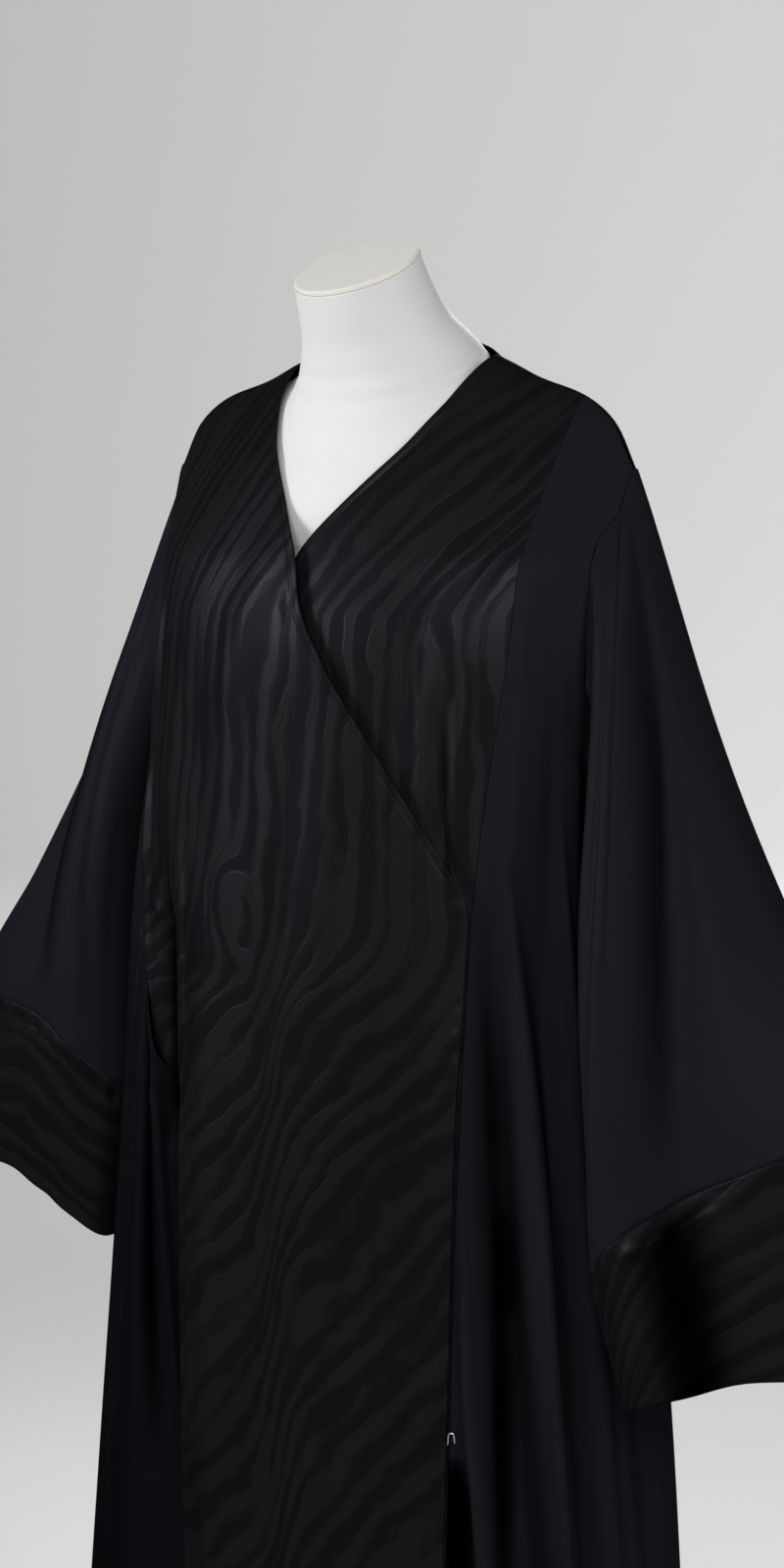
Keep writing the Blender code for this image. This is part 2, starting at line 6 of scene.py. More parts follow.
import bmesh
import bpy
import numpy as np
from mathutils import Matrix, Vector


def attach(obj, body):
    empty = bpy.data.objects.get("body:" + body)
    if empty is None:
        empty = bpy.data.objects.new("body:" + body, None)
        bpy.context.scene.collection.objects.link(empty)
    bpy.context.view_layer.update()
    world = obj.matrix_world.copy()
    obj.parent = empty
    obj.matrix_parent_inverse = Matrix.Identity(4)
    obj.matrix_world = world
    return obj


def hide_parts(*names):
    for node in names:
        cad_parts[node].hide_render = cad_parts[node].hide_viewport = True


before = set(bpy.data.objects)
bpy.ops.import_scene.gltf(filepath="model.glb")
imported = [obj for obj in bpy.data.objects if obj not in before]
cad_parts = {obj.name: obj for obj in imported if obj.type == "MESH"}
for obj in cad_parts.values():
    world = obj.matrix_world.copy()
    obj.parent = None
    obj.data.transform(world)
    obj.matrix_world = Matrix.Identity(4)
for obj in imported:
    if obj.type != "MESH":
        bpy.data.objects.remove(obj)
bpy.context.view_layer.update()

# ---------------------------------------------------------------- right front, the outer wrap
# The wearer's right centre front, cut in tone-on-tone striped satin. It hangs from the
# shoulder, laps over the left front, and its free edge is turned to a narrow stitched hem.

CLOTH = 0.0012
HEM = 0.050
CHEST_LINE = 1.250
YOKE = 0.170
RIDGE_DEPTH = 0.012
SHOULDER_HALF = 0.250
NECK_HALF = 0.100
BACK_NECK_DEPTH = 0.064
RIGHT_SHOULDER = 0.08
UNDERARM = 1.090
ARMHOLE_TURN = 71.0
ARMHOLE_FLARE = 5.5
WRAP_CORNER = 0.972
MEAN_RADIUS = 0.25  # turns a turn into a distance along the cloth

# The body's rings: height, centre, half width, depth in front and depth behind.
Section = namedtuple("Section", "height centre half front back")
BODY = (
    Section(0.050, -0.020, 0.318, 0.212, 0.185),
    Section(0.250, -0.018, 0.303, 0.200, 0.170),
    Section(0.420, -0.016, 0.290, 0.190, 0.158),
    Section(0.700, -0.012, 0.269, 0.174, 0.146),
    Section(0.970, -0.007, 0.255, 0.160, 0.137),
    Section(1.100, -0.003, 0.249, 0.153, 0.134),
    Section(1.190, 0.000, 0.246, 0.148, 0.130),
    Section(1.250, 0.000, 0.247, 0.134, 0.125),
)
Ridge = namedtuple("Ridge", "across height")
SHOULDER = (
    Ridge(0.000, 1.446),
    Ridge(0.100, 1.424),
    Ridge(0.145, 1.405),
    Ridge(0.193, 1.389),
    Ridge(0.222, 1.367),
    Ridge(0.238, 1.338),
    Ridge(0.247, 1.321),
)
# Hanging folds: where each runs at its top and at the hem, in degrees round the body.
Fold = namedtuple("Fold", "top_turn hem_turn start full rise front_width back_width bend")
FOLDS = (
    Fold(-93.0, -93.0, 1.100, 0.900, -0.016, 22.0, 24.0, 1.0),
    Fold(-63.0, -66.0, 1.160, 0.900, 0.012, 12.0, 14.0, 1.0),
    Fold(-40.0, -13.5, 1.020, 0.800, -0.036, 7.0, 16.0, 1.0),
    Fold(-25.5, 1.5, 1.080, 0.850, 0.008, 12.0, 7.0, 1.0),
    Fold(40.5, 54.0, 0.700, 0.450, 0.010, 2.5, 4.0, 1.0),
    Fold(47.0, 61.5, 0.990, 0.650, -0.022, 9.0, 4.5, 1.0),
    Fold(49.5, 65.0, 1.050, 0.650, 0.020, 6.0, 3.0, 2.6),
    Fold(58.5, 72.0, 1.000, 0.500, -0.010, 5.0, 6.0, 1.0),
    Fold(64.0, 80.0, 1.080, 0.600, 0.018, 9.0, 3.5, 1.0),
    Fold(80.0, 102.0, 1.050, 0.500, -0.014, 10.0, 10.0, 1.0),
    Fold(108.0, 120.0, 0.900, 0.400, 0.012, 13.0, 12.0, 1.0),
    Fold(140.0, 144.0, 0.850, 0.350, -0.012, 14.0, 14.0, 1.0),
    Fold(165.0, 166.0, 0.900, 0.400, 0.012, 13.0, 13.0, 1.0),
    Fold(191.0, 192.0, 0.900, 0.400, -0.010, 13.0, 13.0, 1.0),
    Fold(218.0, 218.0, 0.900, 0.400, 0.014, 13.0, 13.0, 1.0),
    Fold(245.0, 243.0, 0.900, 0.400, -0.012, 13.0, 13.0, 1.0),
)
# Seams and edges up the body, as a turn at each level.
Edge = namedtuple("Edge", "level turn")
WRAP_HANG = (
    Edge(0.050, 36.5),
    Edge(0.420, 38.5),
    Edge(0.690, 40.0),
    Edge(0.800, 40.6),
    Edge(0.883, 41.8),
    Edge(WRAP_CORNER, 42.8),
)
WRAP_CROSS = (
    Edge(WRAP_CORNER, 42.8),
    Edge(1.066, 26.5),
    Edge(1.152, 11.5),
    Edge(1.214, 2.5),
    Edge(1.257, 0.0),
    Edge(1.290, -6.5),
    Edge(1.340, -16.0),
    Edge(1.385, -22.0),
    Edge(1.420, -23.6),
)
UNDER_EDGE = (
    Edge(0.050, 4.0),
    Edge(0.470, -4.0),
    Edge(0.972, -9.0),
    Edge(1.152, -9.0),
    Edge(1.257, -1.5),
    Edge(1.300, 8.0),
    Edge(1.340, 16.0),
    Edge(1.380, 21.0),
    Edge(1.420, 23.6),
)
PRINCESS_RIGHT = (
    Edge(0.050, -14.0),
    Edge(0.470, -26.0),
    Edge(0.690, -32.0),
    Edge(0.755, -36.0),
    Edge(0.795, -44.0),
    Edge(0.880, -49.5),
    Edge(0.972, -58.5),
    Edge(1.020, -63.0),
    Edge(1.420, -63.0),
)


def ease(share):
    """A soft step from 0 to 1."""
    share = np.clip(share, 0.0, 1.0)
    return share * share * (3.0 - 2.0 * share)


def read(table, column, at):
    """A table's column, read along its first column on a smooth curve through its rows."""
    keys = np.array([row[0] for row in table])
    values = np.array([getattr(row, column) for row in table])
    last = len(keys) - 1
    slopes = np.array(
        [
            (values[min(i + 1, last)] - values[max(i - 1, 0)])
            / (keys[min(i + 1, last)] - keys[max(i - 1, 0)])
            for i in range(last + 1)
        ]
    )
    at = np.clip(at, keys[0], keys[-1])
    low = np.clip(np.searchsorted(keys, at, side="right") - 1, 0, last - 1)
    span = keys[low + 1] - keys[low]
    share = (at - keys[low]) / span
    start, end = slopes[low] * span, slopes[low + 1] * span
    step = values[low + 1] - values[low]
    bend = (start + end - 2.0 * step) * share + 3.0 * step - 2.0 * start - end
    return values[low] + (bend * share + start) * share


def edge_turn(table):
    """An edge's turn as a function of the level, straight between its rows."""
    levels = [row.level for row in table]
    turns = [row.turn for row in table]
    return lambda level: np.interp(level, levels, turns)


def hill(distance, width):
    """A rounded hill of height 1, down to 0 at its width."""
    return np.cos(np.minimum(np.abs(distance) / width, 1.0) * math.pi / 2) ** 2


def fold_relief(turn, level):
    """How far the hanging folds push the cloth out."""
    relief = np.zeros_like(turn)
    for fold in FOLDS:
        share = np.clip((level - HEM) / (fold.start - HEM), 0.0, 1.0) ** fold.bend
        middle = fold.hem_turn + (fold.top_turn - fold.hem_turn) * share
        distance = (turn - middle + 180.0) % 360.0 - 180.0
        distance = np.where(middle < 0, -distance, distance)
        width = np.where(distance < 0, fold.front_width, fold.back_width)
        growth = ease((fold.start - level) / (fold.start - fold.full))
        relief += fold.rise * growth * hill(distance, width)
    return relief


def cloth_place(turn, level, out=0.0):
    """Where the cloth lies, as an array of places, moved out by a small distance."""
    turn, level = np.broadcast_arrays(turn, level)
    height = np.minimum(level, CHEST_LINE)
    centre, half, front, back = (
        read(BODY, column, height) for column in ("centre", "half", "front", "back")
    )
    angle = np.radians(turn)
    behind = np.cos(angle) < 0
    depth = np.where(behind, back, front)
    outward = np.stack([np.sin(angle) / half, -np.cos(angle) / depth])
    outward /= np.hypot(*outward)
    push = out + fold_relief(turn, level)
    x = centre + half * np.sin(angle) + outward[0] * push
    y = -depth * np.cos(angle) + outward[1] * push
    share = np.clip((level - CHEST_LINE) / YOKE, 0.0, 1.0)
    across = np.abs(np.sin(angle)) * SHOULDER_HALF
    crown = read(SHOULDER, "height", across)
    hollow = np.maximum(1.0 - (across / NECK_HALF) ** 2, 0.0)
    ridge = RIDGE_DEPTH + np.where(behind, 0.002 + BACK_NECK_DEPTH * hollow, -0.002)
    bend = np.where(behind, 0.62, 0.42 + 0.43 * np.minimum(across / 0.19, 1.0))
    x = np.where(x < 0, x * (1.0 + RIGHT_SHOULDER * share), x)
    y = ridge + (y - ridge) * (1.0 - share) ** bend
    z = height + (crown - CHEST_LINE) * share + out * share
    return np.stack([x, y, z], axis=-1)


def surface_normals(places, flip=1.0):
    """The outward normals of a grid of places."""
    along = np.gradient(places, axis=0)
    across = np.gradient(places, axis=1)
    normals = np.cross(across, along) * flip
    return normals / np.maximum(np.linalg.norm(normals, axis=-1, keepdims=True), 1e-9)


def soften(places, passes, axis=0):
    """Rounds a grid of places along one axis, with its ends held."""
    places = np.moveaxis(places.copy(), axis, 0)
    for _ in range(passes):
        places[1:-1] = (places[:-2] + 2.0 * places[1:-1] + places[2:]) / 4.0
    return np.moveaxis(places, 0, axis)


def shade(relief, full=0.0082):
    """How far a place lies in the bottom of a trough, from 0 to 1 at a full depth: the share of
    painted shade there.
    """
    return ease((-relief - 0.0012) / full)


def cloth_piece(name, places, weave, hollow=None, closed=False):
    """A cloth piece: a grid laid on its places, with the weave's run in metres as its UV map."""
    rows, columns = places.shape[0] - 1, places.shape[1] - 1
    made = bmesh.new()
    made.loops.layers.uv.new("weave")
    bmesh.ops.create_grid(made, x_segments=columns, y_segments=rows, size=1.0)
    mesh = bpy.data.meshes.new(name)
    made.to_mesh(mesh)
    made.free()
    flat = np.empty(len(mesh.vertices) * 3)
    mesh.vertices.foreach_get("co", flat)
    flat = flat.reshape(-1, 3)
    column = np.rint((flat[:, 0] + 1.0) / 2.0 * columns).astype(int)
    row = np.rint((flat[:, 1] + 1.0) / 2.0 * rows).astype(int)
    mesh.vertices.foreach_set("co", places[row, column].ravel())
    corner = np.empty(len(mesh.loops), dtype=int)
    mesh.loops.foreach_get("vertex_index", corner)
    mesh.uv_layers["weave"].data.foreach_set("uv", weave[row, column][corner].ravel())
    # The hollow attribute carries painted shade: how far each place's colour is darkened in a
    # trough.
    if hollow is not None:
        painted_shade_values = mesh.attributes.new("hollow", "FLOAT", "POINT")
        painted_shade_values.data.foreach_set("value", hollow[row, column].ravel())
    if closed:
        made = bmesh.new()
        made.from_mesh(mesh)
        bmesh.ops.remove_doubles(made, verts=made.verts, dist=1e-5)
        made.to_mesh(mesh)
        made.free()
    mesh.shade_smooth()
    piece = bpy.data.objects.new(name, mesh)
    bpy.context.scene.collection.objects.link(piece)
    wall = piece.modifiers.new("thickness", "SOLIDIFY")
    wall.thickness = CLOTH
    wall.offset = 0.0
    return piece


class Field:
    """A value that varies over a surface, for shader maths in plain expressions."""

    def __init__(self, finish, socket):
        self.finish, self.socket = finish, socket

    def __add__(self, other):
        return self.finish.maths("ADD", self, other)

    def __radd__(self, other):
        return self.finish.maths("ADD", other, self)

    def __sub__(self, other):
        return self.finish.maths("SUBTRACT", self, other)

    def __rsub__(self, other):
        return self.finish.maths("SUBTRACT", other, self)

    def __mul__(self, other):
        return self.finish.maths("MULTIPLY", self, other)

    def __rmul__(self, other):
        return self.finish.maths("MULTIPLY", other, self)


class Finish:
    """A procedural finish. Its node method adds one node and returns its first output."""

    def __init__(self, name):
        self.material = bpy.data.materials.new(name)
        self.material.use_nodes = True
        self.tree = self.material.node_tree
        self.shader = self.tree.nodes["Principled BSDF"]

    def node(self, kind, settings=None, inputs=None, output=0):
        made = self.tree.nodes.new("ShaderNode" + kind)
        for key, value in (settings or {}).items():
            setattr(made, key, value)
        for key, value in (inputs or {}).items():
            self.feed(made.inputs[key], value)
        return Field(self, made.outputs[output])

    def maths(self, operation, first, second=0.0):
        return self.node("Math", {"operation": operation}, {0: first, 1: second})

    def feed(self, socket, value):
        if isinstance(value, Field):
            self.tree.links.new(value.socket, socket)
        else:
            socket.default_value = value

    def set(self, **values):
        for key, value in values.items():
            self.feed(self.shader.inputs[key.replace("_", " ")], value)

    def stripe_place(self):
        """The weave's own run: across the stripes and along them, in metres."""
        weave = self.node("UVMap", {"uv_map": "weave"})
        across = self.node("SeparateXYZ", inputs={0: weave}, output=0)
        along = self.node("SeparateXYZ", inputs={0: weave}, output=1)
        return across, along

    def noise(self, x, y, detail=2.0, z=0.0):
        """Soft noise over two directions; z picks another stretch of it."""
        place = self.node("CombineXYZ", inputs={0: x, 1: y, 2: z})
        return self.node("TexNoise", inputs={"Vector": place, "Scale": 1.0, "Detail": detail})

    def step(self, value, low, high):
        """A soft step from 0 at the low value to 1 at the high one."""
        return self.node(
            "MapRange",
            {"interpolation_type": "SMOOTHSTEP"},
            {"Value": value, "From Min": low, "From Max": high},
        )

    def with_painted_shade(self, colour):
        """A colour with painted shade: darkened towards black in the bottom of the troughs, by the
        hollow attribute.
        """
        # Painted shade: the colour is blended towards black by the hollow attribute.
        hollow = self.node("Attribute", {"attribute_name": "hollow"}, output=2)
        return self.blend(hollow * 0.94, colour, (0.0, 0.0, 0.0))

    def blend(self, share, first, second):
        """A colour between two others, each a colour or the output of a node."""
        ends = [end if isinstance(end, Field) else (*end, 1.0) for end in (first, second)]
        inputs = {0: share, 6: ends[0], 7: ends[1]}
        return self.node("Mix", {"data_type": "RGBA"}, inputs, output=2)


STRIPE_PERIOD = 0.0240


def striped_satin(name):
    """Black jacquard: broad satin stripes with tapering, forking ends on a matt ground."""
    finish = Finish(name)
    across, along = finish.stripe_place()
    sway = finish.noise(across * 15.0, along * 8.0, z=3.0) - 0.5
    ragged = finish.noise(across * 90.0, along * 60.0, detail=3.0, z=9.0) - 0.5
    place = across + sway * 0.050 + ragged * 0.0075
    wave = finish.maths("SINE", place * (2.0 * math.pi / STRIPE_PERIOD)) * 0.36
    patch = finish.noise(place * 34.0, along * 7.5, detail=1.0, z=24.0) - 0.5
    grain = finish.noise(place * 92.0, along * 9.0, z=33.0) - 0.5
    rise = wave + patch * 1.95 + grain * 0.85
    figure = finish.step(rise, -0.08, 0.20)
    outline = finish.step(rise, -0.16, -0.05) - finish.step(rise, -0.05, 0.01)
    inner = finish.step(rise, 0.12, 0.20) - finish.step(rise, 0.20, 0.34)
    cloudy = finish.noise(across * 11.0, along * 6.0, z=11.0)
    ground = finish.blend(cloudy, (0.0070, 0.0068, 0.0083), (0.0094, 0.0090, 0.0109))
    stripe = finish.blend(cloudy, (0.0142, 0.0138, 0.0160), (0.0180, 0.0174, 0.0200))
    colour = finish.blend(figure * 0.74 + outline * 0.40, ground, stripe)
    # Painted shade: the satin is painted up to 20% darker below the bust, where its run along the
    # weave is under 1.12, so the lit band at the bust stands out.
    painted_shade_below_bust = 1.0 - finish.step(along, 0.86, 1.12)
    colour = finish.blend(painted_shade_below_bust * 0.20, colour, (0.0, 0.0, 0.0))
    thread = finish.noise(across * 2600.0, along * 1900.0, detail=1.0)
    height = figure * 0.00020 + inner * 0.00006 + thread * 0.00003
    bump = finish.node("Bump", inputs={"Strength": 1.0, "Distance": 1.0, "Height": height})
    finish.set(
        Base_Color=finish.with_painted_shade(colour),
        Roughness=0.47 - figure * 0.06 + (cloudy - 0.5) * 0.06,
        Metallic=figure * 0.06 + 0.46,
        Specular_IOR_Level=0.0,
        Specular_Tint=(0.0, 0.0, 0.0, 1.0),
        Normal=bump,
    )
    return finish.material


SATIN = striped_satin("striped satin")


def stripe_run(turn, level, trunk_turn, lean):
    """The run of the woven stripes: across them and along them, in metres.

    They lean towards the wearer's left above the bust, hang straight below it, and branch
    off a trunk on the lower front.
    """
    across = np.radians(turn) * MEAN_RADIUS
    above = np.maximum(level - 1.205, 0.0)
    upper = across - lean * above * above / (above + 0.008)
    away = across - np.radians(trunk_turn(level)) * MEAN_RADIUS
    climb = 1.10 * away + 0.050 * np.tanh(away / 0.017)
    lower = (climb - (level - 0.955)) * 0.63
    share = ease((1.000 - level) / 0.150)
    run = upper * (1.0 - share) + lower * share
    return np.stack([run, level + share * away * 0.8], axis=-1)


# Levels up a body panel, closer together where the yoke rounds over to the shoulder.
YOKE_SHARES = 1.0 - (1.0 - np.linspace(0.0, 1.0, 51)[1:]) ** 1.7
LEVELS = np.concatenate([np.linspace(HEM, CHEST_LINE, 200), CHEST_LINE + YOKE * YOKE_SHARES])
SEAM_PARTING = 0.06

Crease = namedtuple("Crease", "turn level end_turn end_level rise width")


def crease_relief(creases, turn, level):
    """Soft ridges and troughs laid one by one, each along a line that fades at both ends."""
    relief = np.zeros_like(turn)
    across = np.radians(turn) * MEAN_RADIUS
    for crease in creases:
        start = np.array([math.radians(crease.turn) * MEAN_RADIUS, crease.level])
        end = np.array([math.radians(crease.end_turn) * MEAN_RADIUS, crease.end_level])
        run = end - start
        length = float(np.hypot(*run))
        run /= length
        along = (across - start[0]) * run[0] + (level - start[1]) * run[1]
        aside = (across - start[0]) * run[1] - (level - start[1]) * run[0]
        share = np.clip(along / length, 0.0, 1.0)
        overrun = along - share * length
        taper = np.sin(math.pi * np.clip(share * 0.9 + 0.05, 0.0, 1.0)) ** 0.7
        reach = np.hypot(aside, overrun)
        relief += crease.rise * taper * np.exp(-((reach / crease.width) ** 2))
    return relief


def body_panel(name, first_edge, last_edge, columns, finish, run, creases=(), out=None, more=None):
    """A body panel between two edges, with its creases and weave, finest at its last edge."""
    level = LEVELS[:, None]
    share = 1.0 - (1.0 - np.linspace(0.0, 1.0, columns + 1)[None, :]) ** 1.25
    inset = SEAM_PARTING * ease((level - 0.20) / 0.10)
    first, last = first_edge(level) + inset, last_edge(level) - inset
    turn = first + (last - first) * share
    level = np.broadcast_to(level, turn.shape)
    places = cloth_place(turn, level, out(turn, level) if out is not None else 0.0)
    places = soften(soften(places, 6, axis=0), 2, axis=1)
    relief = crease_relief(creases, turn, level)
    if more is not None:
        relief = relief + more(turn, level)
    places = places + surface_normals(places) * relief[..., None]
    # Painted shade: the bottoms of the creases' troughs are darkened through the hollow attribute.
    piece = cloth_piece(name, places, run(turn, level), shade(relief))
    piece.data.materials.append(finish)
    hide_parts(name.replace("_cloth", ""))
    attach(piece, "root")
    return piece


wrap_hang, wrap_cross = edge_turn(WRAP_HANG), edge_turn(WRAP_CROSS)
under_edge, princess_right = edge_turn(UNDER_EDGE), edge_turn(PRINCESS_RIGHT)


def wrap_edge(level):
    """The wrap's free edge: it crosses the body from the neck, then hangs from its corner."""
    return np.where(level < WRAP_CORNER, wrap_hang(level), wrap_cross(level))


def wrap_out(turn, level):
    """The outer wrap lies on the layer below it, and joins its own side front flush."""
    lift = 0.0050 + 0.0030 * ease((level - 1.00) / 0.22)
    over = ease((turn - under_edge(level) + 16.0) / 12.0)
    settled = 1.0 - ease((level - CHEST_LINE) / 0.10)
    return lift * over * settled


def hem_band(turn, level):
    """The turned hem: a flat band along the free edge, with a stitch line and small puckers."""
    steep = np.where(level < WRAP_CORNER, 1.0, 0.72)
    distance = np.radians(wrap_edge(level) - turn) * MEAN_RADIUS * steep
    width = np.where(level < WRAP_CORNER, 0.0105, 0.0050)
    band = ease((width - distance) / 0.0012) * 0.0005
    stitch = -0.0006 * np.exp(-(((distance - width - 0.0006) / 0.0011) ** 2))
    rolled = 0.0009 * np.exp(-((distance / 0.0016) ** 2))
    pucker = np.sin(level * 2 * math.pi / 0.017 + 3.0 * np.sin(level * 41.0))
    strength = np.exp(-(((level - 0.91) / 0.10) ** 2)) + 0.25
    below = level < 0.985
    ripple = 0.0011 * pucker * strength * hill(distance - 0.006, 0.012) * below
    return band + stitch + rolled + ripple


RIGHT_CREASES = (
    Crease(-17.0, 1.215, -16.0, 0.980, 0.0016, 0.014),
    Crease(-9.0, 1.205, -8.0, 0.930, -0.0018, 0.013),
    Crease(-3.0, 1.200, -3.5, 0.900, 0.0016, 0.012),
    Crease(4.0, 1.160, 2.0, 0.860, -0.0014, 0.014),
    Crease(12.0, 1.110, 9.0, 0.840, 0.0013, 0.014),
    Crease(-24.0, 1.180, -21.0, 1.020, 0.0014, 0.010),
    Crease(-31.5, 1.000, -21.5, 0.760, 0.0040, 0.0065),
    Crease(-21.5, 0.760, -12.5, 0.430, 0.0040, 0.0065),
    Crease(-43.0, 0.960, -38.0, 0.720, -0.0130, 0.0078),
    Crease(-53.0, 1.205, -57.0, 1.060, 0.0060, 0.0055),
    Crease(-57.0, 1.060, -52.0, 0.920, 0.0060, 0.0055),
    Crease(-53.0, 0.930, -43.5, 0.770, 0.0050, 0.0045),
    Crease(-50.0, 0.940, -38.0, 0.905, 0.0030, 0.0050),
    Crease(-0.6, 1.226, -0.9, 1.196, -0.0016, 0.0040),
    Crease(-2.6, 1.214, -0.9, 1.200, 0.0010, 0.0035),
    Crease(22.0, 1.000, 25.0, 0.700, 0.0012, 0.020),
    Crease(10.0, 0.860, 8.0, 0.500, -0.0014, 0.020),
    Crease(-6.0, 0.820, -2.0, 0.450, 0.0014, 0.018),
)


def right_run(turn, level):
    """The right front's stripes, with one knot beside the trunk."""
    trunk = edge_turn((Edge(0.05, 12.0), Edge(0.45, 7.0), Edge(0.70, 2.5), Edge(0.95, 1.0)))
    run = stripe_run(turn, level, trunk, 0.75)
    beside = np.radians(turn + 10.5) * MEAN_RADIUS
    ring = np.hypot(beside * 1.10 + 0.2 * (level - 0.948), (level - 0.948) * 0.72)
    share = 0.74 * np.exp(-((ring / 0.029) ** 4))
    run[..., 0] = run[..., 0] * (1.0 - share) + (ring + run[..., 0] * 0.35) * share
    return run


front_right = body_panel(
    "front_right_cloth",
    princess_right,
    wrap_edge,
    125,
    SATIN,
    right_run,
    RIGHT_CREASES,
    wrap_out,
    hem_band,
)

# ---------------------------------------------------------------- left front, the under layer
# The wearer's left centre front in the same striped satin. It shows in the neckline and
# above the wrap, and carries on behind the wrap down to the hem.

PRINCESS_LEFT = (
    Edge(0.050, 36.8),
    Edge(0.420, 38.8),
    Edge(0.690, 40.3),
    Edge(0.883, 42.1),
    Edge(0.970, 43.2),
    Edge(1.080, 46.5),
    Edge(1.190, 50.5),
    Edge(1.420, 50.5),
)
LEFT_CREASES = (
    Crease(30.5, 1.185, 32.4, 1.030, 0.0034, 0.0075),
    Crease(35.0, 1.140, 37.0, 0.990, -0.0062, 0.0085),
    Crease(40.0, 1.180, 39.5, 1.010, 0.0030, 0.0100),
    Crease(24.5, 1.160, 27.0, 1.060, -0.0020, 0.0090),
    Crease(46.0, 1.290, 36.0, 1.215, -0.0016, 0.0060),
    Crease(47.5, 1.262, 41.0, 1.222, -0.0014, 0.0050),
    Crease(33.0, 1.232, 30.0, 1.170, 0.0012, 0.0070),
)
princess_left = edge_turn(PRINCESS_LEFT)


def left_run(turn, level):
    """The left front's stripes, which sweep up towards the shoulder seam."""
    trunk = edge_turn((Edge(0.05, 20.0), Edge(0.95, 20.0)))
    return stripe_run(turn + 30.0, level, trunk, 0.80)


def neck_band(turn, level):
    """The turned edge of the neckline: a narrow flat band and its stitch line."""
    distance = np.radians(turn - under_edge(level)) * MEAN_RADIUS * 0.72
    band = ease((0.0055 - distance) / 0.0012) * 0.0006
    return band - 0.0007 * np.exp(-(((distance - 0.0062) / 0.0011) ** 2))


front_left = body_panel(
    "front_left_cloth",
    under_edge,
    princess_left,
    115,
    SATIN,
    left_run,
    LEFT_CREASES,
    more=neck_band,
)

# ---------------------------------------------------------------- side fronts
# Plain matt crepe between the princess seams and the side seams. The left one falls in
# pressed folds from the bust, the right one in a deep tuck under the wrap.


def plain_crepe(name, sheen=0.22, painted_shade_tone=1.0, fade_top=0.88):
    """Black crepe: a pebbled matt weave with a faint cool sheen, which may be painted darker below
    a height, as painted shade.
    """
    finish = Finish(name)
    across, along = finish.stripe_place()
    pebble = finish.noise(across * 1500.0, along * 1500.0, detail=2.0)
    cloudy = finish.noise(across * 7.0, along * 4.0, z=5.0)
    plain = finish.blend(cloudy, (0.0088, 0.0094, 0.0119), (0.0108, 0.0115, 0.0142))
    painted_shade_colour = tuple(value * painted_shade_tone for value in (0.0096, 0.0103, 0.0130))
    colour = finish.blend(finish.step(along, fade_top - 0.22, fade_top), painted_shade_colour, plain)
    height = pebble * 0.00006
    bump = finish.node("Bump", inputs={"Strength": 0.6, "Distance": 1.0, "Height": height})
    finish.set(
        Base_Color=finish.with_painted_shade(colour),
        Roughness=0.54 + (cloudy - 0.5) * 0.08,
        Metallic=sheen,
        Specular_IOR_Level=0.0,
        Specular_Tint=(0.0, 0.0, 0.0, 1.0),
        Normal=bump,
    )
    return finish.material


CREPE = plain_crepe("plain crepe")
# A shaded copy of the crepe for the right side front: painted shade darkens it to 0.6 below about
# 0.8 m up, and it has more sheen.
SHADED_CREPE = plain_crepe("plain crepe, painted shade", 0.60, 0.60, 1.00)


def armhole_turn(level):
    """The armhole's front edge, which runs under the arm to the side seam."""
    under = 90.0 + (ARMHOLE_TURN - 90.0) * np.sqrt(ease((level - UNDERARM) / 0.062))
    return under + ARMHOLE_FLARE * ease((level - 1.285) / 0.065)


def straight_run(turn, level):
    """A plain weave's run, across and up the panel."""
    return np.stack([np.radians(turn) * MEAN_RADIUS, level], axis=-1)


SIDE_CREASES = (
    Crease(51.0, 1.005, 59.2, 0.765, 0.0034, 0.0040),
    Crease(59.2, 0.765, 63.0, 0.400, 0.0046, 0.0040),
    Crease(65.0, 1.030, 70.3, 0.760, 0.0034, 0.0040),
    Crease(70.3, 0.760, 76.0, 0.400, 0.0044, 0.0040),
    Crease(46.0, 0.960, 52.0, 0.620, -0.0068, 0.0095),
    Crease(51.3, 0.700, 51.8, 0.320, -0.0090, 0.0135),
    Crease(63.0, 0.700, 66.0, 0.400, -0.0050, 0.0060),
    Crease(46.2, 1.020, 49.5, 0.840, 0.0022, 0.0060),
    Crease(54.0, 1.240, 53.0, 1.000, 0.0020, 0.0100),
    Crease(72.5, 1.150, 73.5, 0.880, -0.0080, 0.0110),
    Crease(62.0, 1.200, 61.0, 0.900, -0.0022, 0.0110),
    Crease(69.0, 1.240, 70.0, 1.060, 0.0024, 0.0090),
    Crease(74.0, 0.620, 79.0, 0.380, 0.0018, 0.0060),
    Crease(80.0, 0.600, 84.0, 0.360, 0.0014, 0.0050),
    Crease(40.4, 0.490, 42.0, 0.300, -0.0300, 0.0090),
    Crease(41.5, 0.720, 46.0, 0.360, 0.0036, 0.0045),
)
side_front_left = body_panel(
    "side_front_left_cloth", princess_left, armhole_turn, 120, CREPE, straight_run, SIDE_CREASES
)

side_front_right = body_panel(
    "side_front_right_cloth",
    lambda level: -armhole_turn(level),
    princess_right,
    80,
    SHADED_CREPE,
    straight_run,
    (
        Crease(-72.0, 0.980, -70.0, 0.560, 0.0020, 0.0090),
        Crease(-49.3, 0.890, -26.8, 0.420, 0.0100, 0.0050),
        Crease(-53.0, 0.885, -32.5, 0.420, -0.0085, 0.0120),
        Crease(-55.0, 0.900, -53.5, 0.300, 0.0110, 0.0060),
        Crease(-43.0, 0.960, -38.0, 0.720, -0.0130, 0.0078),
        Crease(-26.5, 0.740, -17.0, 0.420, -0.0090, 0.0100),
    ),
)

# ---------------------------------------------------------------- back
# The back is cut in one piece of crepe, hollowed at the neck, and hangs in broad soft folds
# from the shoulder blades.

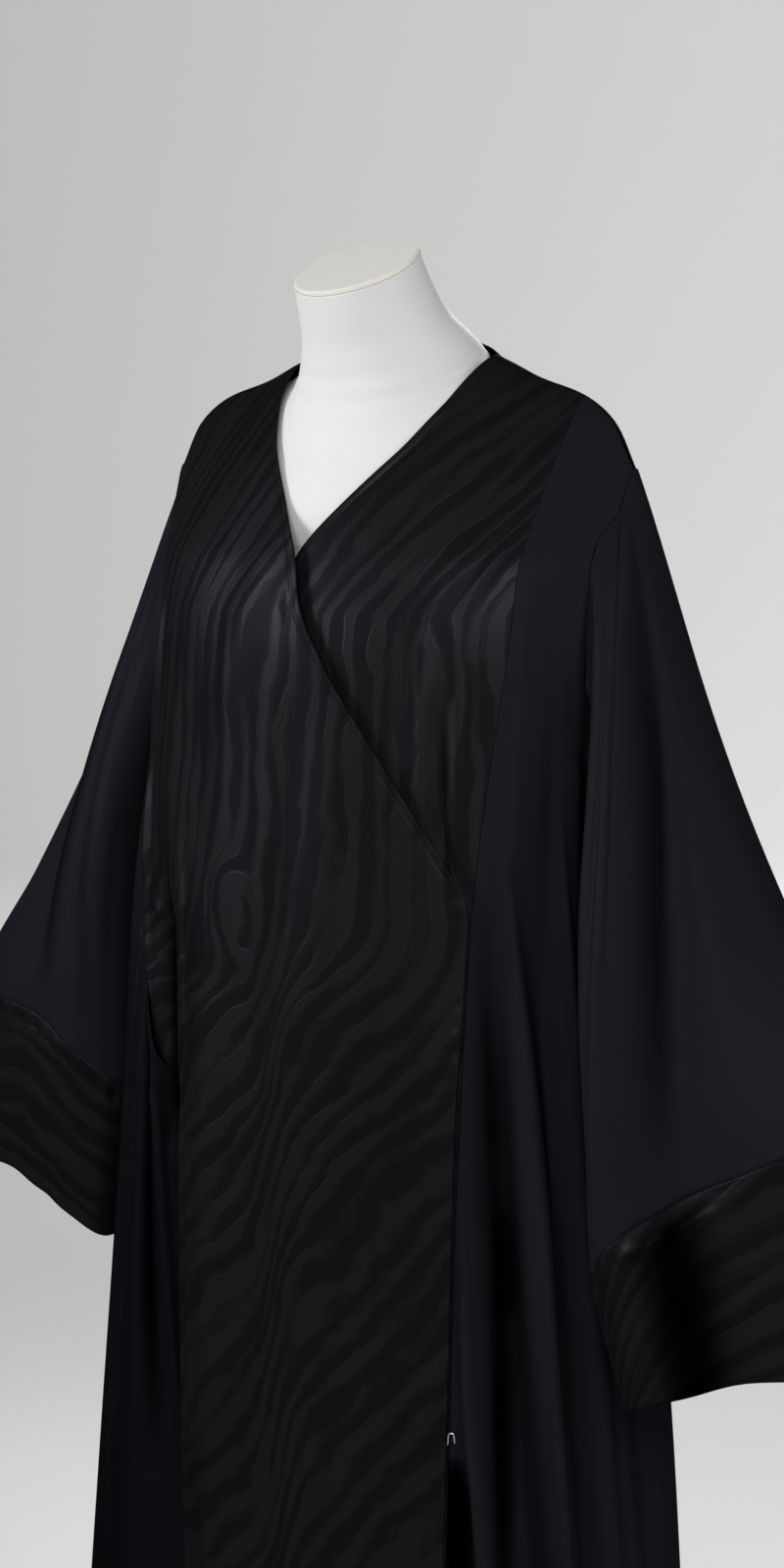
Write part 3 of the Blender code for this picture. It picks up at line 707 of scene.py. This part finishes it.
back = body_panel(
    "back_cloth",
    lambda level: 180.0 - armhole_turn(level),
    lambda level: 180.0 + armhole_turn(level),
    110,
    CREPE,
    straight_run,
    (
        Crease(124.0, 1.050, 130.0, 0.500, 0.0030, 0.0120),
        Crease(152.0, 1.150, 154.0, 0.450, -0.0026, 0.0150),
        Crease(178.0, 1.000, 179.0, 0.380, 0.0026, 0.0110),
        Crease(204.0, 1.120, 205.0, 0.520, 0.0024, 0.0140),
        Crease(232.0, 1.060, 230.0, 0.420, -0.0028, 0.0120),
        Crease(146.0, 1.330, 118.0, 1.180, 0.0022, 0.0100),
        Crease(214.0, 1.330, 240.0, 1.190, 0.0022, 0.0100),
        Crease(160.0, 1.385, 200.0, 1.385, -0.0018, 0.0080),
    ),
)

# ---------------------------------------------------------------- sleeves
# One-piece bell sleeves in crepe, set into dropped armholes. Each falls in one pressed pleat
# from the front of the armhole and widens to the cuff.

Ring = namedtuple("Ring", "reach outer inner front back drop")
SLEEVE = (
    Ring(0.00, (0.246, 0.012, 1.328), (0.266, 0.000, 1.080), 0.045, 0.050, 0.000),
    Ring(0.25, (0.288, 0.006, 1.205), (0.262, -0.018, 0.985), 0.084, 0.052, 0.004),
    Ring(0.50, (0.347, 0.000, 1.070), (0.262, -0.032, 0.880), 0.094, 0.056, 0.014),
    Ring(0.75, (0.422, -0.012, 0.940), (0.264, -0.042, 0.780), 0.086, 0.060, 0.030),
    Ring(1.00, (0.502, -0.025, 0.818), (0.266, -0.050, 0.700), 0.072, 0.064, 0.050),
    Ring(1.25, (0.556, -0.030, 0.640), (0.296, -0.052, 0.600), 0.060, 0.064, 0.050),
)
# How each side's sleeve hangs, the wearer's left (1) and right (-1).
Hang = namedtuple(
    "Hang", "inner_lift inner_shift cuff_lift cuff_sag tuck shoulder_out front_swell fold_share"
)
HANG = {
    1: Hang(0.000, 0.000, 0.000, 0.014, 0.000, 0.000, 1.00, 1.00),
    -1: Hang(0.096, 0.013, -0.055, -0.007, -0.006, -0.004, 0.58, 0.25),
}
# The sleeve's own folds: their angles at the armhole and the cuff, and where they grow.
SleeveFold = namedtuple("SleeveFold", "top cuff start full rise inner_width outer_width")
SLEEVE_FOLDS = (
    SleeveFold(126.0, 52.0, 0.02, 0.30, 0.012, 24.0, 24.0),
    SleeveFold(144.0, 84.0, 0.05, 0.40, -0.016, 28.0, 34.0),
    SleeveFold(230.0, 260.0, 0.20, 0.80, 0.014, 30.0, 30.0),
    SleeveFold(280.0, 300.0, 0.20, 0.80, -0.012, 25.0, 25.0),
)
# The armhole's levels from the underarm up, and the angles its seam line turns to.
ARMHOLE_LEVELS = (1.09, 1.12, 1.152, 1.20, 1.25, 1.28, 1.31, 1.345, 1.375, 1.40, 1.42)
LINE_ROWS = (0.0, 7.0, 8.0, 10.0, 13.0, 20.0)
LINE_TOPS = (0.0, 126.0, 144.0, 180.0, 234.0, 360.0)
LINE_CUFFS = (0.0, 52.0, 84.0, 180.0, 250.0, 360.0)


Point = namedtuple("Point", "reach x y z")


def ring_point(column, reach):
    """Where a column of ring points runs, at a reach down the sleeve."""
    points = [Point(ring.reach, *getattr(ring, column)) for ring in SLEEVE]
    return np.stack([read(points, axis, reach) for axis in ("x", "y", "z")], axis=-1)


def sleeve_place(angle, reach, side):
    """A place on a sleeve: angle 0 at the underarm, 90 in front, 180 on top, 270 behind."""
    hang = HANG[side]
    outer, inner = ring_point("outer", reach), ring_point("inner", reach)
    turned = np.radians(angle)
    along = (1.0 - np.cos(turned)) / 2.0
    ahead = angle < 180.0
    front = hang.front_swell * read(SLEEVE, "front", reach)
    swell = np.where(ahead, front, read(SLEEVE, "back", reach))
    depth = swell * np.abs(np.sin(turned)) ** 0.8 * (1.0 + 0.35 * np.cos(turned))
    for fold in SLEEVE_FOLDS:
        middle = fold.top + (fold.cuff - fold.top) * ease(reach)
        growth = ease((reach - fold.start) / (fold.full - fold.start))
        width = np.where(angle < middle, fold.inner_width, fold.outer_width)
        depth = depth + hang.fold_share * fold.rise * growth * hill(angle - middle, width)
    place = outer * along[..., None] + inner * (1.0 - along)[..., None]
    place[..., 1] += np.where(ahead, -depth, depth)
    place[..., 2] -= read(SLEEVE, "drop", reach) * np.maximum(np.cos(turned), 0.0) ** 2
    cuff = ease((reach - 1.0) / 0.25)
    lift = hang.inner_lift * ease(reach) + hang.cuff_lift * cuff
    place[..., 2] += lift * (1.0 - along)
    place[..., 0] += hang.inner_shift * (1.0 - along) * ease(reach / 0.4)
    place[..., 2] -= np.where(ahead, hang.cuff_sag * np.sin(turned) * cuff, 0.0)
    place[..., 0] -= hang.tuck * along * np.sin(math.pi * np.minimum(reach, 1.0) ** 0.75)
    place[..., 0] += hang.shoulder_out * along * (1.0 - ease(reach / 0.4))
    place[..., 0] *= side
    return place


def armhole_place(line, side):
    """The sleeve's seam line round the armhole, up the front and down the back."""
    upward = np.minimum(line, 20.0 - line)
    level = np.interp(upward, range(11), ARMHOLE_LEVELS)
    turn = armhole_turn(level)
    turn = np.where(line <= 10.0, turn, 180.0 - turn) * side
    lap = 0.0006 + 0.0020 * ease((1.22 - level) / 0.06)
    place = cloth_place(turn, level, lap)
    place[..., 0] += side * 0.0006
    return place


def sleeve_grid(reach, columns, side):
    """A stretch of a sleeve as a grid of places, with its angles and reaches."""
    line = np.broadcast_to(np.linspace(0.0, 20.0, columns + 1)[None, :], (len(reach), columns + 1))
    reach = np.broadcast_to(np.asarray(reach)[:, None], line.shape)
    turned = ease(np.minimum(reach, 1.0))
    top = np.interp(line, LINE_ROWS, LINE_TOPS)
    cuff = np.interp(line, LINE_ROWS, LINE_CUFFS)
    angle = top + (cuff - top) * turned
    free = sleeve_place(angle, reach, side)
    share = ease(reach / 0.28)[..., None]
    return armhole_place(line, side) * (1.0 - share) + free * share, angle, reach


SleeveCrease = namedtuple("SleeveCrease", "angle reach end_angle end_reach rise width")
SLEEVE_CREASES = (
    SleeveCrease(122.0, 0.05, 68.0, 0.84, 0.0030, 2.0),
    SleeveCrease(112.0, 0.10, 52.0, 0.90, -0.0030, 7.0),
    SleeveCrease(132.0, 0.08, 78.0, 0.995, -0.0100, 11.0),
    SleeveCrease(168.0, 0.10, 140.0, 0.90, 0.0016, 12.0),
    SleeveCrease(236.0, 0.05, 250.0, 0.90, 0.0030, 8.0),
    SleeveCrease(262.0, 0.10, 280.0, 0.95, -0.0026, 9.0),
    SleeveCrease(300.0, 0.15, 318.0, 0.90, 0.0022, 8.0),
    SleeveCrease(36.0, 0.30, 22.0, 1.00, 0.0018, 8.0),
)


def sleeve_relief(angle, reach):
    """The sleeve's creases, as long soft lines that fade at both ends."""
    relief = np.zeros_like(angle)
    for crease in SLEEVE_CREASES:
        share = (reach - crease.reach) / (crease.end_reach - crease.reach)
        middle = crease.angle + (crease.end_angle - crease.angle) * ease(share)
        taper = np.sin(math.pi * np.clip(share, 0.0, 1.0)) ** 0.6
        relief += crease.rise * taper * np.exp(-(((angle - middle) / crease.width) ** 2))
    return relief


for side, word, rows, columns in ((1, "left", 130, 240), (-1, "right", 100, 160)):
    places, angle, reach = sleeve_grid(np.linspace(0.0, 1.0001, rows), columns, side)
    relief = sleeve_relief(angle, reach)
    gather = hill(reach - 0.975, 0.025) * np.sin(np.radians(angle) * 21.0)
    relief = relief * ease((1.0 - reach) / 0.02) + 0.0008 * gather
    places = places + surface_normals(places, float(side)) * relief[..., None]
    places[:, -1] = places[:, 0]
    weave = np.stack([np.radians(angle) * 0.09, -reach * 0.52], axis=-1)
    name = "sleeve_" + word
    # Painted shade: the bottoms of the sleeve's troughs are darkened through the hollow attribute.
    sleeve = cloth_piece(name + "_cloth", places, weave, shade(relief, 0.0135), closed=True)
    sleeve.data.materials.append(CREPE)
    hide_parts(name)
    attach(sleeve, "root")

# ---------------------------------------------------------------- cuffs
# Deep straight bands of the striped satin round the sleeve ends, gathered a little where
# the crepe joins them. A pressed fold runs down each one from its sleeve's pleat.

CuffFold = namedtuple("CuffFold", "side depth inner_width outer_width")
CUFF_FOLDS = (
    CuffFold(1, 0.0200, 13.0, 17.0),
    CuffFold(-1, 0.0020, 11.0, 11.0),
)

for (side, depth, inner_width, outer_width), word in zip(CUFF_FOLDS, ("left", "right")):
    places, angle, reach = sleeve_grid(np.linspace(1.0, 1.25, 52), 240, side)
    turned = np.radians(angle)
    gather = hill(reach - 1.030, 0.029) * np.sin(turned * 23.0 + 2.0 * np.sin(turned * 5.0))
    off_fold = angle - 74.0 + 16.0 * (reach - 1.0)
    deep = np.exp(-((off_fold / np.where(off_fold < 0.0, inner_width, outer_width)) ** 2))
    soft = np.exp(-(((angle - 54.0) / 7.0) ** 2)) + np.exp(-(((angle - 112.0) / 14.0) ** 2))
    behind = np.sin(turned * 4.0) * (angle > 180.0)
    relief = 0.0014 * gather + ease((reach - 1.0) / 0.09) * (0.0030 * soft + 0.0040 * behind)
    relief -= ease((reach - 1.0) / 0.035) * depth * deep
    places = places + surface_normals(places, float(side)) * relief[..., None]
    places[:, -1] = places[:, 0]
    steps = np.linalg.norm(np.diff(places[25], axis=0), axis=1)
    around = np.broadcast_to(np.concatenate([[0.0], np.cumsum(steps)]), angle.shape)
    drop = (reach - 1.0) * 0.68
    if side > 0:
        climb = np.cumsum(np.concatenate([[0.0], steps]) * np.where(angle[0] < 76.0, 0.70, 0.32))
        weave = np.stack([drop * 0.90 + climb, around * 0.6], axis=-1)
    else:
        weave = np.stack([drop * 0.90 + around * 0.05, around * 0.8 - drop * 0.3], axis=-1)
    name, joined_to = "cuff_" + word, "sleeve_" + word + "_cloth"
    # Painted shade: the bottom of the pressed fold and the other troughs are darkened through the
    # hollow attribute.
    cuff = cloth_piece(name + "_cloth", places, weave, shade(relief, 0.0200), closed=True)
    cuff.data.materials.append(SATIN)
    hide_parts(name)
    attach(cuff, "root")

# ---------------------------------------------------------------- dress form
# A padded torso covered in white stretch cloth, with a seam round the base of its neck and a
# cream cap with a narrow rim on top.

TorsoRing = namedtuple("TorsoRing", "height half front back")
TORSO = (
    TorsoRing(0.800, 0.160, 0.108, 0.118),
    TorsoRing(0.880, 0.172, 0.114, 0.124),
    TorsoRing(0.960, 0.158, 0.104, 0.112),
    TorsoRing(1.050, 0.122, 0.090, 0.088),
    TorsoRing(1.120, 0.135, 0.100, 0.092),
    TorsoRing(1.190, 0.158, 0.122, 0.100),
    TorsoRing(1.250, 0.175, 0.116, 0.098),
)
NeckRing = namedtuple("NeckRing", "height middle half front tilt")
NECK = (
    NeckRing(1.416, -0.006, 0.084, 0.083, 13.0),
    NeckRing(1.432, -0.014, 0.0745, 0.0775, 13.0),
    NeckRing(1.450, -0.030, 0.064, 0.066, 17.0),
    NeckRing(1.474, -0.044, 0.058, 0.061, 22.0),
    NeckRing(1.498, -0.056, 0.0555, 0.057, 26.0),
)
FORM_CLEARANCE = 0.0072
BACK_CLEARANCE = 0.022
SHOULDER_STEPS = ((-0.04, 0.35), (-0.05, 0.65), (-0.01, 0.90)) + tuple(
    (inward, 1.0) for inward in (0.10, 0.30, 0.50, 0.70, 0.86)
)


def torso_ring(angle, row):
    """A level ring of the torso."""
    depth = np.where(np.cos(angle) > 0, row.front, row.back)
    height = np.full_like(angle, row.height)
    return np.stack([row.half * np.sin(angle), -depth * np.cos(angle), height], axis=-1)


def neck_ring(angle, row):
    """A ring of the neck, tilted down towards the front."""
    tilt = math.radians(row.tilt)
    forward = -row.front * np.cos(angle)
    y, z = row.middle + forward * math.cos(tilt), row.height + forward * math.sin(tilt)
    return np.stack([row.half * np.sin(angle), y, z], axis=-1)


def yoke_height(x, y):
    """The height of the cloth over a place inside the yoke."""
    row = BODY[-1]
    behind = y > RIDGE_DEPTH
    sine = np.minimum(np.abs(x - row.centre) / row.half, 0.999)
    across = sine * SHOULDER_HALF
    base = np.sqrt(1.0 - sine * sine) * np.where(behind, row.back, -row.front)
    hollow = np.maximum(1.0 - (across / NECK_HALF) ** 2, 0.0)
    ridge = RIDGE_DEPTH + np.where(behind, 0.002 + BACK_NECK_DEPTH * hollow, -0.002)
    bend = np.where(behind, 0.62, 0.42 + 0.43 * np.minimum(across / 0.19, 1.0))
    lean = np.clip((y - ridge) / (base - ridge), 0.0, 1.0)
    crown = read(SHOULDER, "height", across)
    return CHEST_LINE + (crown - CHEST_LINE) * (1.0 - lean ** (1.0 / bend))


def shoulder_ring(chest, collar, inward, upward):
    """A ring of the form's shoulders, just under the cloth."""
    ring = chest + (collar - chest) * inward
    behind = ease((ring[:, 1] - 0.01) / 0.03)
    clearance = FORM_CLEARANCE + (BACK_CLEARANCE - FORM_CLEARANCE) * behind
    top = yoke_height(ring[:, 0], ring[:, 1]) - clearance
    top += (collar[:, 2] - top) * ease((inward - 0.80) / 0.20)
    ring[:, 2] = CHEST_LINE + (top - CHEST_LINE) * upward
    return ring


def smooth_rows(rows, share):
    """A smooth surface through rows of places, read at shares of the way along them."""
    at = share * (len(rows) - 1)
    low = np.clip(at.astype(int), 0, len(rows) - 2)
    part = (at - low)[:, None, None]
    before, start = rows[np.maximum(low - 1, 0)], rows[low]
    end, after = rows[low + 1], rows[np.minimum(low + 2, len(rows) - 1)]
    first, last = (end - before) / 2.0, (after - start) / 2.0
    bend = (first + last - 2.0 * (end - start)) * part + 3.0 * (end - start) - 2.0 * first - last
    return start + (bend * part + first) * part


round_turns = np.radians(np.linspace(0.0, 360.0, 121))
chest_ring, collar_ring = torso_ring(round_turns, TORSO[-1]), neck_ring(round_turns, NECK[0])
form_rings = [torso_ring(round_turns, row) for row in TORSO]
form_rings += [shoulder_ring(chest_ring, collar_ring, *step) for step in SHOULDER_STEPS]
form_rings += [neck_ring(round_turns, row) for row in NECK]
collar_row = len(form_rings) - len(NECK)
form_rows = np.linspace(0.0, 1.0, 160)
form_places = smooth_rows(np.array(form_rings), form_rows)
beside_collar = (form_rows * (len(form_rings) - 1) - collar_row + 0.35)[:, None]
form_seam = 0.0006 * np.exp(-(((beside_collar - 0.26) / 0.15) ** 2))
form_seam -= 0.0012 * np.exp(-((beside_collar / 0.12) ** 2))
form_places = form_places + surface_normals(form_places) * form_seam[..., None]
form_places[:, -1] = form_places[:, 0]
form_weave = np.stack(
    [np.broadcast_to(round_turns * 0.16, form_places.shape[:2]), form_places[..., 2]], axis=-1
)
form = cloth_piece("form_torso_cover", form_places, form_weave, closed=True)
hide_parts("form_torso")
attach(form, "root")


def form_finish(name, base, weave_scale):
    """Matt white knit over padding."""
    finish = Finish(name)
    place = finish.node("TexCoord", output=3)
    knit = finish.node("TexNoise", inputs={"Vector": place, "Scale": weave_scale, "Detail": 2.0})
    soft = finish.node("TexNoise", inputs={"Vector": place, "Scale": 14.0, "Detail": 2.0})
    dark = tuple(value * 0.95 for value in base)
    bump = finish.node("Bump", inputs={"Strength": 0.5, "Distance": 1.0, "Height": knit * 0.0002})
    finish.set(
        Base_Color=finish.blend(soft, dark, base),
        Roughness=0.82 + (knit - 0.5) * 0.1,
        Specular_IOR_Level=0.25,
        Sheen_Weight=0.1,
        Normal=bump,
    )
    return finish.material


form.data.materials.append(form_finish("white form cloth", (0.63, 0.63, 0.632), 900.0))


def dress_node(name, material):
    """Gives a CAD node its material."""
    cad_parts[name].data.materials.clear()
    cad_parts[name].data.materials.append(material)


dress_node("neck_cap", form_finish("cream cap", (0.70, 0.685, 0.635), 300.0))

# ---------------------------------------------------------------- hook and stand
# The small bent-wire hook on the wrap edge, and the form's pole and round base. All are
# satin steel, a little uneven in its gloss.

STEEL = Finish("satin steel")
steel_place = STEEL.node("TexCoord", output=3)
brushed = STEEL.node("TexNoise", inputs={"Vector": steel_place, "Scale": 60.0})
STEEL.set(Base_Color=(0.55, 0.55, 0.56, 1.0), Metallic=1.0, Roughness=0.28 + brushed * 0.15)
for node in ("hook", "pole", "stand_base"):
    dress_node(node, STEEL.material)

# ---------------------------------------------------------------- room, lights and camera
# A pale round studio whose floor curves up into its wall, broad soft lights and gentle fill.

FLOOR_RADIUS, COVE_RADIUS, WALL_HEIGHT = 6.5, 4.0, 6.0
studio = bmesh.new()
profile = [studio.verts.new((0.0, 0.0, 0.0))]
for bend in np.radians(np.linspace(0.0, 90.0, 19)):
    across = FLOOR_RADIUS + COVE_RADIUS * math.sin(bend)
    profile.append(studio.verts.new((across, 0.0, COVE_RADIUS * (1.0 - math.cos(bend)))))
profile.append(studio.verts.new((FLOOR_RADIUS + COVE_RADIUS, 0.0, WALL_HEIGHT)))
lines = [studio.edges.new(pair) for pair in zip(profile, profile[1:])]
bmesh.ops.spin(
    studio,
    geom=profile + lines,
    cent=(0.0, 0.0, 0.0),
    axis=(0.0, 0.0, 1.0),
    dvec=(0.0, 0.0, 0.0),
    angle=2.0 * math.pi,
    steps=96,
)
bmesh.ops.remove_doubles(studio, verts=studio.verts, dist=0.0001)
bmesh.ops.recalc_face_normals(studio, faces=studio.faces)
studio_mesh = bpy.data.meshes.new("studio_room")
studio.to_mesh(studio_mesh)
studio.free()
studio_mesh.shade_smooth()
studio_room = bpy.data.objects.new("studio_room", studio_mesh)
bpy.context.scene.collection.objects.link(studio_room)
paper = Finish("pale paper")
paper.set(Base_Color=(0.605, 0.617, 0.605, 1.0), Roughness=0.9, Specular_IOR_Level=0.1)
studio_mesh.materials.append(paper.material)


def soft_light(name, place, aim, wide, tall, power, spread=180.0):
    """A rectangular soft box aimed at a place, with a grid that narrows its spread."""
    light = bpy.data.lights.new(name, "AREA")
    light.shape = "RECTANGLE"
    light.size = wide
    light.size_y = tall
    light.energy = power
    light.spread = math.radians(spread)
    made = bpy.data.objects.new(name, light)
    made.location = place
    made.visible_camera = False
    made.rotation_euler = (Vector(aim) - Vector(place)).to_track_quat("-Z", "Y").to_euler()
    bpy.context.scene.collection.objects.link(made)


soft_light("key", (1.6, -2.95, 2.35), (0.0, 0.0, 1.1), 2.2, 0.8, 76.0)
soft_light("left", (-2.6, -2.3, 1.95), (-0.10, -0.15, 1.06), 2.0, 1.0, 9.0, 40.0)
soft_light("right", (3.0, -0.4, 2.1), (0.0, 0.0, 1.1), 1.2, 1.2, 32.0)
soft_light("rim", (-2.6, 0.9, 1.9), (-0.2, 0.0, 1.1), 0.6, 1.4, 2.0)
soft_light("back", (-1.8, 3.1, 2.6), (0.0, 0.0, 1.0), 1.2, 1.0, 26.0, 60.0)
soft_light("cove", (-0.3, 2.5, 3.4), (-3.6, 4.4, 0.4), 2.6, 2.0, 128.0)
soft_light("wall", (-0.4, 3.8, 3.6), (-4.2, 8.9, 2.6), 2.6, 2.0, 305.0)
world = bpy.data.worlds.new("studio")
world.use_nodes = True
sky = world.node_tree.nodes["Background"].inputs
sky["Color"].default_value = (1.0, 1.0, 1.0, 1.0)
sky["Strength"].default_value = 0.13
bpy.context.scene.world = world
bpy.context.scene.view_settings.view_transform = "Standard"

camera_data = bpy.data.cameras.new("camera")
camera_data.lens = 66.0
camera_data.sensor_width = 36.0
camera = bpy.data.objects.new("camera", camera_data)
camera.location = (1.5489, -2.0257, 1.36)
camera.rotation_euler = (math.radians(83.0), 0.0, math.radians(37.5))
bpy.context.scene.collection.objects.link(camera)
bpy.context.scene.camera = camera
